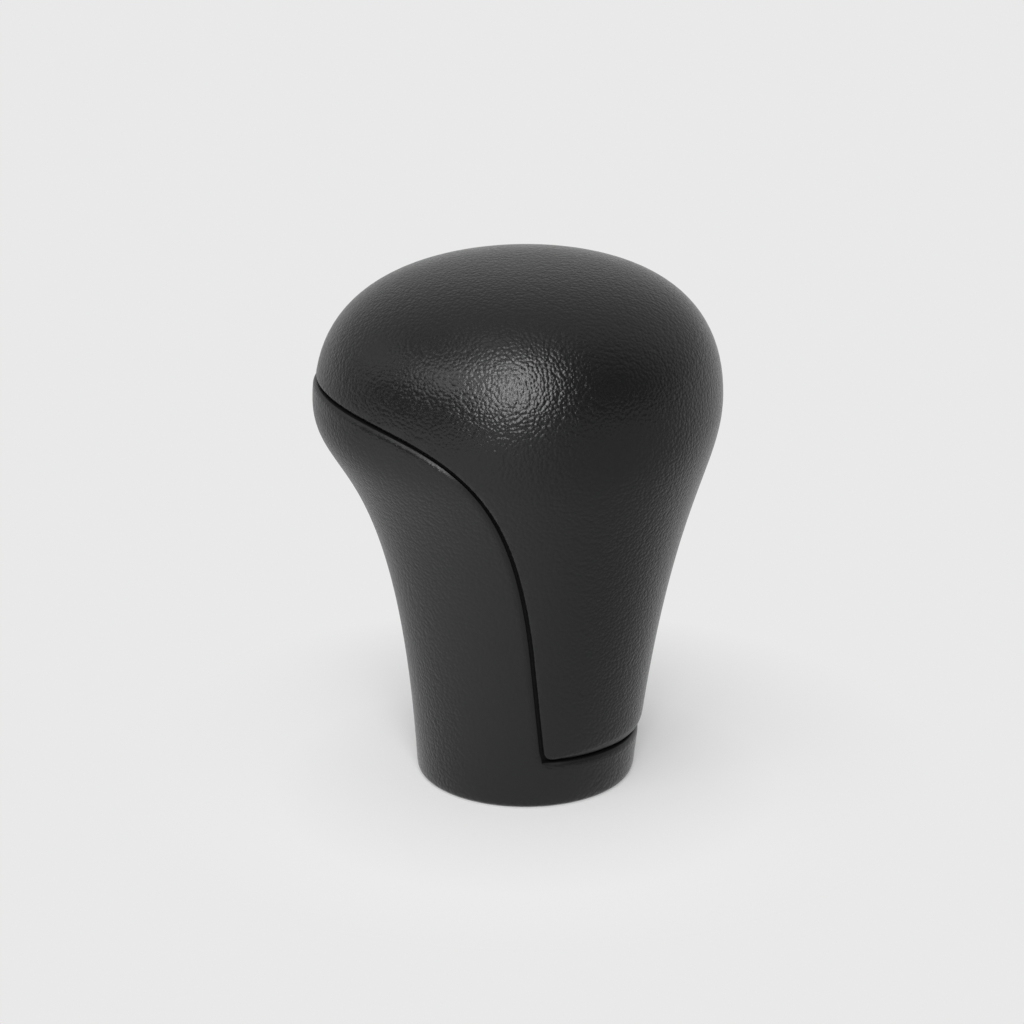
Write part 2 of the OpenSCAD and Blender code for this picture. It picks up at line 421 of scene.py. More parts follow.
@dataclass(frozen=True)
class TurnedMetal:
    """Metal with fine turning marks round the vertical axis."""

    name: str
    colour: Colour
    colour_dull: Colour
    roughness: float
    mark_rough: float = 0.1
    mark_stretch: Point3 = (0.15, 0.15, 2.5)
    marks: Noise = Noise(0.3, 2.0, 0.6)
    mark_depth_mm: float = 0.01
    patch_rough: float = 0.08
    patches: Noise = Noise(1.6, 3.0, 0.6)
    dull_gain: float = 1.6
    dull_loss: float = 0.3

    def material(self) -> bpy.types.Material:
        """Builds the material.

        Returns:
            The material, with turning marks in its bump and dulled patches in its colour.
        """
        shader = Shader(self.name)
        place = shader.place()
        marks = shader.noise(shader.vector("MULTIPLY", place, self.mark_stretch), self.marks)
        patches = shader.noise(place, self.patches)
        dull = (patches * self.dull_gain - self.dull_loss).clamped()
        surface = {
            "Base Color": shader.blend(dull, self.colour, self.colour_dull),
            "Metallic": 1.0,
            "Roughness": (self.roughness + marks * self.mark_rough + patches * self.patch_rough).clamped(),
            "Normal": shader.bump(marks, self.mark_depth_mm),
        }
        return shader.finish(shader.principled(surface))


@dataclass(frozen=True)
class PaleGround:
    """Floor that reads as an even pale ground, keeps the knob's shadow, and has a painted contact shade close
    to the base.
    """

    name: str = "pale_ground"
    shade: float = GROUND_SHADE
    shade_swing: float = 0.01
    paper: Noise = Noise(1000.0 / 6.0)
    roughness: float = 0.9
    keep_shadow: float = 0.76
    open_light: float = 0.6
    shadow_mm: Point = (22.0, 62.0)
    # painted contact shade: how much the even tone is darkened, round which point, and over which distances
    painted_contact_shade: float = 0.095
    painted_shade_at: Point = (-1.0, -7.0)
    painted_shade_mm: Point = (12.0, 38.0)
    mirror_front: Point = (0.88, 0.43)
    mirror_back: Point = (0.57, 0.7)
    mirror_span_mm: Point = (60.0, 40.0)
    mirror_mm: Point = (400.0, 1500.0)

    @staticmethod
    def _fade(away: Signal, reach: Point) -> Signal:
        """A share that falls from 1 to 0 with the distance, between the two ends of a reach."""
        near, far = reach
        return (1.0 - (away - near * MM) * (1.0 / ((far - near) * MM))).clamped()

    def _mirror_tone(self, shader: Shader, place: Signal, near: Signal) -> Signal:
        """The tone that the knob's sides reflect: brightest on the left in front, where the light comes from.

        Args:
            shader: the material's shader.
            place: the point on the floor.
            near: share that is 1 near the knob; further out the tone is the ground's own.

        Returns:
            The tone.
        """
        shares = []
        for axis, span in enumerate(self.mirror_span_mm):
            along = shader.node("ShaderNodeSeparateXYZ", {}, {0: place}, axis)
            inputs = {"Value": along, "From Min": -span * MM, "From Max": span * MM}
            shares.append(shader.node("ShaderNodeMapRange", {"interpolation_type": "SMOOTHSTEP"}, inputs))
        right, back = shares
        tones = (self.mirror_front, self.mirror_back)
        front_tone, back_tone = (right * (tone[1] - tone[0]) + tone[0] for tone in tones)
        return (front_tone * (1.0 - back) + back_tone * back) * near + self.shade * (1.0 - near)

    def material(self) -> bpy.types.Material:
        """Builds the material.

        Returns:
            The floor's material: lit and shadowed near the knob, and an even tone for the eye further out,
            darkened by a painted contact shade close to the base.
        """
        shader = Shader(self.name)
        place = shader.place()
        low, high = grey(self.shade - self.shade_swing), grey(self.shade + self.shade_swing)
        lit_colour = shader.blend(shader.noise(place, self.paper), low, high)
        lit = shader.principled({"Base Color": lit_colour, "Roughness": self.roughness})
        away = shader.vector("LENGTH", place, out="Value")
        eye, mirror = shader.rays("Is Camera Ray"), shader.mirror()
        keep = self._fade(away, self.shadow_mm) * self.keep_shadow * eye
        # painted shade: the paper's even tone for the eye is darkened round a point just in front of the base
        x, y = self.painted_shade_at
        front = shader.vector("DISTANCE", place, (x * MM, y * MM, 0.0), out="Value")
        paper_with_painted_shade = self.shade * (1.0 - self._fade(front, self.painted_shade_mm) * self.painted_contact_shade)
        seen_tone = (paper_with_painted_shade - keep * self.open_light) / (1.0 - keep)
        mirror_tone = self._mirror_tone(shader, place, self._fade(away, self.mirror_mm))
        tone = seen_tone * (1.0 - mirror) + mirror_tone * mirror
        even = shader.node("ShaderNodeEmission", {}, {"Color": tone, "Strength": 1.0})
        return shader.finish(shader.either(eye * (1.0 - keep) + mirror, lit, even))


class Bench:
    """The steps that a modeller takes by hand, as methods on Blender's own operators."""

    @staticmethod
    def pick(*pieces: Body) -> None:
        """Leaves edit mode and selects nothing but the given pieces.

        Args:
            pieces: the objects, the last of which becomes active; without any, the active one stays.
        """
        if bpy.context.object and bpy.context.object.mode != "OBJECT":
            bpy.ops.object.mode_set(mode="OBJECT")
        bpy.ops.object.select_all(action="DESELECT")
        for piece in pieces:
            piece.select_set(True)
            bpy.context.view_layer.objects.active = piece

    @staticmethod
    def start(name: str, add: Callable[..., Any], **settings: Any) -> Body:
        """Places a primitive.

        Args:
            name: the new object's name.
            add: the operator that adds the primitive.
            settings: the operator's settings.

        Returns:
            The new object, active and in object mode.
        """
        Bench.pick()
        add(**settings)
        piece = bpy.context.object
        piece.name = name
        piece.data.name = name
        return piece

    @staticmethod
    def settle(piece: Body) -> None:
        """Moves the object's place into its mesh."""
        Bench.pick(piece)
        bpy.ops.object.transform_apply(location=True, rotation=True, scale=True)

    @staticmethod
    def edit(piece: Body) -> None:
        """Goes into edit mode with all of the points selected.

        Args:
            piece: the object.
        """
        Bench.pick(piece)
        bpy.ops.object.mode_set(mode="EDIT")
        bpy.ops.mesh.select_mode(type="VERT")
        bpy.ops.mesh.select_all(action="SELECT")

    @staticmethod
    def select(piece: Body, test: Callable[[Vector], bool]) -> None:
        """Selects vertices by their place, in edit mode.

        Args:
            piece: the object in edit mode.
            test: says of a vertex's place, in millimetres, whether it is selected.
        """
        bpy.ops.mesh.select_all(action="DESELECT")
        mesh = bmesh.from_edit_mesh(piece.data)
        for vertex in mesh.verts:
            vertex.select = test(vertex.co / MM)
        mesh.select_flush(True)
        bmesh.update_edit_mesh(piece.data)

    @staticmethod
    def extrude(x: float, y: float, z: float) -> None:
        """Extrudes the selection by a way in millimetres."""
        bpy.ops.mesh.extrude_region_move(TRANSFORM_OT_translate={"value": (x * MM, y * MM, z * MM)})

    @staticmethod
    def tilt(angle: float, centre: Point3) -> None:
        """Turns the selection round a line along Y.

        Args:
            angle: how far, in radians; a turn of next to nothing is left out.
            centre: a point of that line, in metres.
        """
        if abs(angle) > LEAST_TILT:
            settings = {"orient_axis": "Y", "orient_type": "GLOBAL", "center_override": centre}
            bpy.ops.transform.rotate(value=angle, **settings)

    @staticmethod
    def close() -> None:
        """Merges doubles, turns the faces outwards and leaves edit mode."""
        bpy.ops.mesh.select_all(action="SELECT")
        bpy.ops.mesh.remove_doubles(threshold=SAME_POINT * MM)
        bpy.ops.mesh.normals_make_consistent(inside=False)
        bpy.ops.object.mode_set(mode="OBJECT")

    @staticmethod
    def tidy(piece: Body) -> None:
        """Merges a piece's doubles and turns its faces outwards."""
        Bench.edit(piece)
        Bench.close()

    @staticmethod
    def smooth(piece: Body) -> None:
        """Shades a piece smooth across all but its sharp edges."""
        Bench.pick(piece)
        bpy.ops.object.shade_smooth_by_angle(angle=SHARP)

    @staticmethod
    def apply(piece: Body, kind: str, **settings: Any) -> None:
        """Adds a modifier and applies it.

        Args:
            piece: the object.
            kind: the modifier's type.
            settings: its attributes.
        """
        Bench.pick(piece)
        modifier = piece.modifiers.new(kind.title(), kind)
        for key, value in settings.items():
            setattr(modifier, key, value)
        bpy.ops.object.modifier_apply(modifier=modifier.name)

    @staticmethod
    def combine(piece: Body, tool: Body, cut: Cut) -> Body:
        """Joins, trims or cuts a piece with another body, which is used up.

        Args:
            piece: the object that changes.
            tool: the other body.
            cut: what is done with it.

        Returns:
            The changed object.
        """
        Bench.apply(piece, "BOOLEAN", operation=cut.value, object=tool, solver="MANIFOLD")
        Bench.discard(tool)
        return piece

    @staticmethod
    def discard(tool: Body) -> None:
        """Deletes a body that was only a tool.

        Args:
            tool: the object, which goes with its mesh.
        """
        Bench.pick()
        mesh = tool.data
        bpy.data.objects.remove(tool)
        bpy.data.meshes.remove(mesh)

    @staticmethod
    def copy(piece: Body, name: str) -> Body:
        """Copies a piece with its own mesh.

        Args:
            piece: the object.
            name: the copy's name.

        Returns:
            The copy.
        """
        Bench.pick(piece)
        bpy.ops.object.duplicate(linked=False)
        made = bpy.context.object
        made.name = name
        made.data.name = name
        return made

    @staticmethod
    def line(name: str, outline: Sequence[Point | Vector], y: float = 0.0) -> Body:
        """Draws a line point by point in the XZ plane, and leaves it in edit mode.

        Args:
            name: the object's name.
            outline: its points, as X and Z in millimetres.
            y: where the plane lies.

        Returns:
            The object, with all of its points selected.
        """
        piece = Bench.start(name, bpy.ops.mesh.primitive_plane_add, size=MM, location=(0, 0, 0))
        Bench.edit(piece)
        bpy.ops.mesh.merge(type="CENTER")
        x, z = outline[0]
        bpy.ops.transform.translate(value=(x * MM, y * MM, z * MM))
        for (x0, z0), (x1, z1) in zip(outline, outline[1:]):
            Bench.extrude(x1 - x0, 0, z1 - z0)
        bpy.ops.mesh.select_all(action="SELECT")
        return piece

    @staticmethod
    def prism(name: str, outline: Sequence[Point | Vector], half_width: float = 60.0) -> Body:
        """Draws a side-view outline and pushes it through along Y.

        Args:
            name: the object's name.
            outline: its corners, as X and Z in millimetres.
            half_width: half of its length along Y.

        Returns:
            The closed body.
        """
        piece = Bench.line(name, outline, -half_width)
        bpy.ops.mesh.edge_face_add()
        Bench.extrude(0, 2 * half_width, 0)
        Bench.close()
        return piece

    @staticmethod
    def turned(name: str, outline: Sequence[Point], at: Point = AXIS, sides: int = ROUND) -> Body:
        """Spins a half outline round an upright axis.

        Args:
            name: the object's name.
            outline: radius and height of its corners, from the axis back to the axis.
            at: X and Y of its axis.
            sides: its number of sides.

        Returns:
            The closed body.
        """
        piece = Bench.line(name, outline)
        bpy.ops.mesh.spin(steps=sides, angle=2 * math.pi, center=(0, 0, 0), axis=(0, 0, 1))
        bpy.ops.mesh.select_all(action="SELECT")
        bpy.ops.transform.translate(value=(at[0] * MM, at[1] * MM, 0))
        Bench.close()
        return piece

    @staticmethod
    def rod(name: str, radius: float, low: float, high: float, at: Point = AXIS, sides: int = ROUND) -> Body:
        """Places an upright rod.

        Args:
            name: the object's name.
            radius: its radius.
            low: height of its lower end.
            high: height of its upper end.
            at: X and Y of its axis.
            sides: its number of sides.

        Returns:
            The closed body.
        """
        place = (at[0] * MM, at[1] * MM, (low + high) / 2 * MM)
        size = {"vertices": sides, "radius": radius * MM, "depth": (high - low) * MM}
        piece = Bench.start(name, bpy.ops.mesh.primitive_cylinder_add, location=place, **size)
        Bench.settle(piece)
        return piece


@dataclass(frozen=True)
class Thread:
    """A thread round the upright axis; its flat, flank and run-in are shares of the pitch."""

    root: float
    crest: float
    pitch: float
    turn_sides: int = 48
    flat: float = 0.14
    flank: float = 0.29
    run_in: float = 2.013
    spare_turns: int = 4

    def wind(self, name: str, low: float, high: float) -> Body:
        """Winds the thread's profile up the axis and trims it flat at both ends.

        Args:
            name: the object's name.
            low: height of its lower end.
            high: height of its upper end.

        Returns:
            The closed body.
        """
        first = low - self.run_in * self.pitch
        last = first + self.pitch
        flat, flank = self.flat * self.pitch, self.flank * self.pitch
        foot = [(self.root, first), (self.root, last - 2 * flank - flat)]
        ridge = [(self.crest, last - flank - flat), (self.crest, last - flank), (self.root, last)]
        piece = Bench.line(name, foot + ridge)
        bpy.ops.object.mode_set(mode="OBJECT")
        Bench.apply(
            piece,
            "SCREW",
            axis="Z",
            angle=2 * math.pi,
            screw_offset=self.pitch * MM,
            iterations=math.ceil((high - low) / self.pitch) + self.spare_turns,
            steps=self.turn_sides,
            render_steps=self.turn_sides,
            use_merge_vertices=True,
            merge_threshold=SAME_POINT * MM,
        )
        Bench.edit(piece)
        for level, upper in ((low, False), (high, True)):
            bpy.ops.mesh.select_all(action="SELECT")
            bpy.ops.mesh.bisect(
                plane_co=(0, 0, level * MM),
                plane_no=(0, 0, 1),
                use_fill=True,
                clear_inner=not upper,
                clear_outer=upper,
                threshold=ON_PLANE,
            )
        Bench.close()
        return piece


@dataclass(frozen=True)
class Rings:
    """How finely a form is lofted: points round a ring, and rings up the neck and over the crown."""

    sides: int
    neck: int
    crown: int


@dataclass(frozen=True)
class KnobForm:
    """The lofted outer form that both mouldings are cut from."""

    height: float = 80.0
    base_r: float = 16.3
    head_front: float = 31.2
    head_rear: float = 28.8
    head_w: float = 54.0
    head_h: float = 59.4
    base_round: float = 1.0
    base_steps: int = 6
    neck_front_h: float = 52.0
    neck_front_lean: float = 0.05
    under_front: float = 10.8
    neck_rear_h: float = 44.0
    neck_rear_lean: float = 0.11
    under_rear: float = 10.6
    crown_side: float = 12.3
    crown_flat: float = 0.735
    crown_end: float = 1.999
    least_step: float = 0.05
    nudge: float = 1e-4

    def _profile(self, t: float, depth: float, front: bool) -> Vector:
        """Point of one side's profile, as reach and height.

        Args:
            t: 0 at the base, 1 at the widest level, 2 at the crown.
            depth: how far the point lies inside the outer form.
            front: the front profile, or else the rear one.

        Returns:
            The point, with its reach from the axis and its height.
        """
        reach = self.head_front if front else self.head_rear
        slim = self.neck_front_h if front else self.neck_rear_h
        lean = self.neck_front_lean if front else self.neck_rear_lean
        under = self.under_front if front else self.under_rear
        if t <= 1:
            neck = [(self.base_r, 0), (self.base_r + lean * slim, slim)]
            ends = neck + [(reach, self.head_h - under), (reach, self.head_h)]
        else:
            shoulder = [(reach, self.head_h), (reach, self.head_h + self.crown_side)]
            ends = shoulder + [(self.crown_flat * reach, self.height), (0, self.height)]
        return curve_point([Vector(p) for p in ends], t if t <= 1 else t - 1, depth)

    def section(self, t: float, depth: float = 0.0) -> tuple[Vector, Vector, float]:
        """One tilted elliptical section.

        Args:
            t: where it lies along the profiles.
            depth: how far it lies inside the outer form.

        Returns:
            Its middle and its half length, both as X and Z, and its half width.
        """
        front = self._profile(t, depth, True)
        rear = self._profile(t, depth, False)
        nose = Vector((-front.x, front.y))
        half = (rear - nose) / 2
        s = min(t, 1.0)
        ratio = 1 + (self.head_w / (self.head_front + self.head_rear) - 1) * s * s * (3 - 2 * s)
        return (nose + rear) / 2, half, half.length * ratio

    def surface(self, t: float, angle: float) -> Vector:
        """Point of the outer form.

        Args:
            t: where its section lies along the profiles.
            angle: its place round the section, in radians, 0 at the rear.

        Returns:
            The point in millimetres.
        """
        middle, half, width = self.section(t)
        flat = middle + half * math.cos(angle)
        return Vector((flat.x, width * math.sin(angle), flat.y))

    def normal(self, t: float, angle: float) -> Vector:
        """Outward normal of the outer form.

        Args:
            t: where its section lies along the profiles.
            angle: its place round the section, in radians.

        Returns:
            The unit normal.
        """
        e = self.nudge
        up = self.surface(t + e, angle) - self.surface(t - e, angle)
        across = self.surface(t, angle + e) - self.surface(t, angle - e)
        return across.cross(up).normalized()

    def seen_at(self, x: float, z: float) -> tuple[float, float]:
        """Finds the section under a point of the side view.

        Args:
            x: place along the knob.
            z: height.

        Returns:
            The section's t, and the cosine of the angle round it, past 1 outside the outline.
        """

        def below(t: float) -> bool:
            """Whether the section lies below the point."""
            middle, half, _ = self.section(t)
            return (x - middle.x) * -half.y + (z - middle.y) * half.x > 0

        t = last_before(0.0, self.crown_end, below)
        middle, half, _ = self.section(t)
        return t, ((x - middle.x) * half.x + (z - middle.y) * half.y) / half.length_squared

    def _rings(self, depth: float, fine: Rings, foot: float) -> list[tuple[Vector, Vector, float]]:
        """The sections of a loft, from its foot to just under its top.

        Args:
            depth: how far it lies inside the outer form.
            fine: how many there are.
            foot: height of its lower end, when it lies inside.

        Returns:
            Each section's middle, half length and half width.
        """
        if depth > 0:
            rings = [(Vector((0, foot)), Vector((self.base_r - depth, 0)), self.base_r - depth)]
            first = 0.0
        else:
            rings = []
            for a in steps(0, QUARTER, self.base_steps)[:-1]:
                r = self.base_r - self.base_round * (1 - math.sin(a))
                rings.append((Vector((0, self.base_round * (1 - math.cos(a)))), Vector((r, 0)), r))
            first = self.base_round / self.neck_front_h / 2
        places = [first] + steps(0, 1, fine.neck)[1:]
        places += [1 + math.sin(a) for a in steps(0, QUARTER, fine.crown)[1:-1]]
        sections = [self.section(t, depth) for t in places]
        return rings + [s for s in sections if depth == 0 or s[0].y > foot + self.least_step]

    def loft(self, name: str, depth: float, fine: Rings, shift: float = 0.0, foot: float = 0.0) -> Body:
        """Raises the form ring by ring: each ring is extruded, moved, turned and scaled to its section.

        Args:
            name: the object's name.
            depth: how far it lies inside the outer form.
            fine: how many rings it has.
            shift: how far it is moved along X.
            foot: height of its lower end, when it lies inside.

        Returns:
            The closed body.
        """
        rings = self._rings(depth, fine, foot)
        middle, half, _ = rings[0]
        piece = Bench.start(
            name,
            bpy.ops.mesh.primitive_circle_add,
            vertices=fine.sides,
            radius=half.length * MM,
            fill_type="NGON",
            location=((middle.x + shift) * MM, 0, middle.y * MM),
        )
        Bench.settle(piece)
        Bench.edit(piece)
        for (m0, h0, w0), (m1, h1, w1) in zip(rings, rings[1:]):
            step = m1 - m0
            centre = ((m1.x + shift) * MM, 0, m1.y * MM)
            size = (h1.length / h0.length, w1 / w0, 1)
            Bench.extrude(step.x, 0, step.y)
            Bench.tilt(-math.atan2(h0.y, h0.x), centre)
            bpy.ops.transform.resize(value=size, orient_type="GLOBAL", center_override=centre)
            Bench.tilt(math.atan2(h1.y, h1.x), centre)
        top = rings[-1][0]
        Bench.extrude(-top.x, 0, self.height - depth - top.y)
        bpy.ops.mesh.merge(type="CENTER")
        bpy.ops.mesh.select_all(action="SELECT")
        bpy.ops.mesh.normals_make_consistent(inside=False)
        bpy.ops.object.mode_set(mode="OBJECT")
        return piece


@dataclass(frozen=True)
class Seam:
    """The S-shaped seam between the two mouldings, in side view, and its groove."""

    form: KnobForm = field(default_factory=KnobForm)
    front_h: float = 63.2
    front_past: float = 2.0
    front_reach: float = 10.0
    fall: float = 0.17
    level: float = 14.8
    bend_h: float = 24.4
    turn: float = 34.5
    lean: float = 0.11
    line_steps: int = 60
    foot_x: float = 0.2
    collar_h: float = 7.7
    collar_fall: float = 0.025
    corner_r: float = 1.5
    corner_steps: int = 10
    gap: float = 0.45
    body_round: Point = (1.4, 0.45)
    cover_round: float = 0.45
    lip_round: Point = (2.2, 0.9)
    lip_from: float = 1.0
    lip_length: float = 9.0
    mouth_steps: int = 5
    mouth_lift: float = 0.015
    overlap: float = 1.6
    spare: float = 0.1
    far: float = 60.0
    flank_steps: int = 230

    def _line(self, grow: float) -> list[Vector]:
        """The seam from the front of the head to the top of its foot.

        Args:
            grow: distance from the seam, towards the cover.

        Returns:
            Its points, as X and Z.
        """
        bend = Vector((self.foot_x - self.lean * (self.bend_h - self.collar_h), self.bend_h))
        start = Vector((-self.form.head_front - self.front_past, self.front_h))
        after_start = start + Vector((1, -self.fall)) * self.level
        before_bend = bend + Vector((-self.lean, 1)) * self.turn
        ends = (start, after_start, before_bend, bend)
        return [curve_point(ends, u, grow) for u in steps(0, 1, self.line_steps)]

    def _corner(self, grow: float) -> Vector:
        """The corner of the seam at its foot, at a distance from the seam towards the cover."""
        across = grow * math.sqrt(1 + self.lean**2)
        return Vector((self.foot_x + across - self.lean * grow, self.collar_h + grow))

    def _rear(self, grow: float) -> Vector:
        """The far end of the collar's edge, which falls a little to the rear."""
        return Vector((self.far, self.collar_h + grow - self.collar_fall * (self.far - self.foot_x)))

    def _turned_foot(self, grow: float, radius: float) -> list[Vector]:
        """The rounded corner at the foot.

        Args:
            grow: distance from the seam, towards the cover.
            radius: radius of the corner, about a centre on the cover's side.

        Returns:
            Its points.
        """
        centre = self._corner(grow + radius)
        angles = steps(math.pi + math.atan(self.lean), 1.5 * math.pi, self.corner_steps)
        return [centre + Vector((math.cos(a), math.sin(a))) * radius for a in angles]

    def half_space(self, name: str, side: Side, grow: float) -> Body:
        """All that lies on one side of the seam, pushed through along Y.

        Args:
            name: the object's name.
            side: the moulding whose side it is; the cover's has a rounded lower corner.
            grow: distance of its edge from the seam, towards the cover.

        Returns:
            The closed body.
        """
        if side is Side.COVER:
            corner, limit = self._turned_foot(grow, self.corner_r + self.spare), 2 * self.far
        else:
            corner, limit = [self._corner(grow)], -self.far
        edge = [Vector((-self.far, self.front_h + grow))] + self._line(grow) + corner + [self._rear(grow)]
        return Bench.prism(name, edge + [Vector((self.far, limit)), Vector((-self.far, limit))])

    def _stations(self, shift: float) -> list[tuple[Vector, Vector]]:
        """Points and normals along the seam on one flank, from the front round to the rear.

        Args:
            shift: how far the form is moved along X.

        Returns:
            Each point on the form with the form's normal there.
        """
        path = self._line(0) + self._turned_foot(0, self.corner_r + self.gap / 2) + [self._rear(0)]
        spans = [(b - a).length for a, b in zip(path, path[1:])]

        def under(length: float) -> tuple[float, float]:
            """Finds the form's section under the path.

            Args:
                length: how far along the path.

            Returns:
                What seen_at() says of that point.
            """
            p = path[-1]
            for start, end, span in zip(path, path[1:], spans):
                if length <= span:
                    p = start.lerp(end, length / span)
                    break
                length -= span
            return self.form.seen_at(p.x - shift, p.y)

        total = sum(spans)
        first = last_before(0.0, self.front_reach, lambda length: under(length)[1] <= -1)
        last = last_before(total - self.far, total, lambda length: under(length)[1] < 1)
        made = []
        for i in range(self.flank_steps + 1):
            t, along = under(first + (last - first) * (1 - math.cos(math.pi * i / self.flank_steps)) / 2)
            angle = math.acos(max(-1.0, min(1.0, along)))
            if i in (0, self.flank_steps):
                angle = 0.0 if i else math.pi
            made.append((self.form.surface(t, angle) + Vector((shift, 0, 0)), self.form.normal(t, angle)))
        return made

    def _loop(self, shift: float) -> list[tuple[Vector, Vector]]:
        """Points and normals along the whole seam, on both flanks of a form that is moved along X."""
        flank = self._stations(shift)
        return flank + [(Vector((p.x, -p.y, p.z)), Vector((n.x, -n.y, n.z))) for p, n in flank[-2:0:-1]]

    def _round(self, side: Side, point: Vector) -> Point:
        """Rounding of a moulding's edge at a point of the seam.

        Args:
            side: the moulding.
            point: the point on the form.

        Returns:
            Its length along the surface and its depth, both more at the cover's lip over the collar.
        """
        if side is Side.BODY:
            return self.body_round
        low = point.z < 2 * self.collar_h
        lip = min(1.0, max(0.0, (point.x - self.lip_from) / self.lip_length)) if low else 0.0
        long, deep = (self.cover_round + (size - self.cover_round) * lip for size in self.lip_round)
        return long, deep

    def groove(self, name: str, side: Side, shift: float, depth: float) -> Body:
        """The groove's hollow on one moulding, with a rounded mouth, laid along the seam round the knob.

        Args:
            name: the object's name.
            side: the moulding whose edge is rounded.
            shift: how far that moulding is moved along X.
            depth: depth of the groove.

        Returns:
            The closed body.
        """
        half = self.gap / 2
        quarter = steps(0, QUARTER, self.mouth_steps)
        loop = self._loop(shift)
        around, across = len(loop), len(quarter) + 4
        grid = bpy.ops.mesh.primitive_grid_add
        piece = Bench.start(name, grid, x_subdivisions=across, y_subdivisions=around, size=MM)
        for i in range(around + 1):
            point, normal = loop[i % around]
            ahead = loop[(i + 1) % around][0] - loop[(i - 1) % around][0]
            to_cover = ahead.cross(normal).normalized()
            long, deep = self._round(side, point)
            mouth = -(half + long)
            low = self.mouth_lift - deep
            outline = [(mouth + long * math.sin(a), low + deep * math.cos(a)) for a in quarter]
            outline += [(-half, -depth), (self.overlap, -depth), (self.overlap, PAST), (mouth, PAST)]
            for j in range(across + 1):
                aside, out = outline[j % across]
                place = point + to_cover * (aside * -side.value) + normal * out
                piece.data.vertices[i * (across + 1) + j].co = place * MM
        Bench.tidy(piece)
        return piece


def skin_of(piece: Body) -> BVHTree:
    """The surface of a form before it is cut, for finding distances."""
    points = [vertex.co.copy() for vertex in piece.data.vertices]
    return BVHTree.FromPolygons(points, [tuple(face.vertices) for face in piece.data.polygons])


def mark_depth(piece: Body, skin: BVHTree) -> None:
    """Writes how deep each point lies below the outer form, in millimetres, as the piece's own attribute.

    Args:
        piece: the finished moulding.
        skin: the uncut form's surface.
    """
    depth = piece.data.attributes.new("depth", "FLOAT", "POINT")
    for vertex in piece.data.vertices:
        depth.data[vertex.index].value = skin.find_nearest(vertex.co)[3] / MM


def show(piece: Body, node: str, kind: str, material: bpy.types.Material) -> None:
    """Finishes a piece that stands for a node.

    Args:
        piece: the object.
        node: the node that it replaces.
        kind: how it is made, for the end of its name.
        material: its finish.
    """
    piece.data.materials.clear()
    piece.data.materials.append(material)
    piece.name = f"{node}_{kind}"
    piece.data.name = piece.name
    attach(piece, "root")
    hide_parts(node)
    log.info("%s: %d faces", piece.name, len(piece.data.polygons))


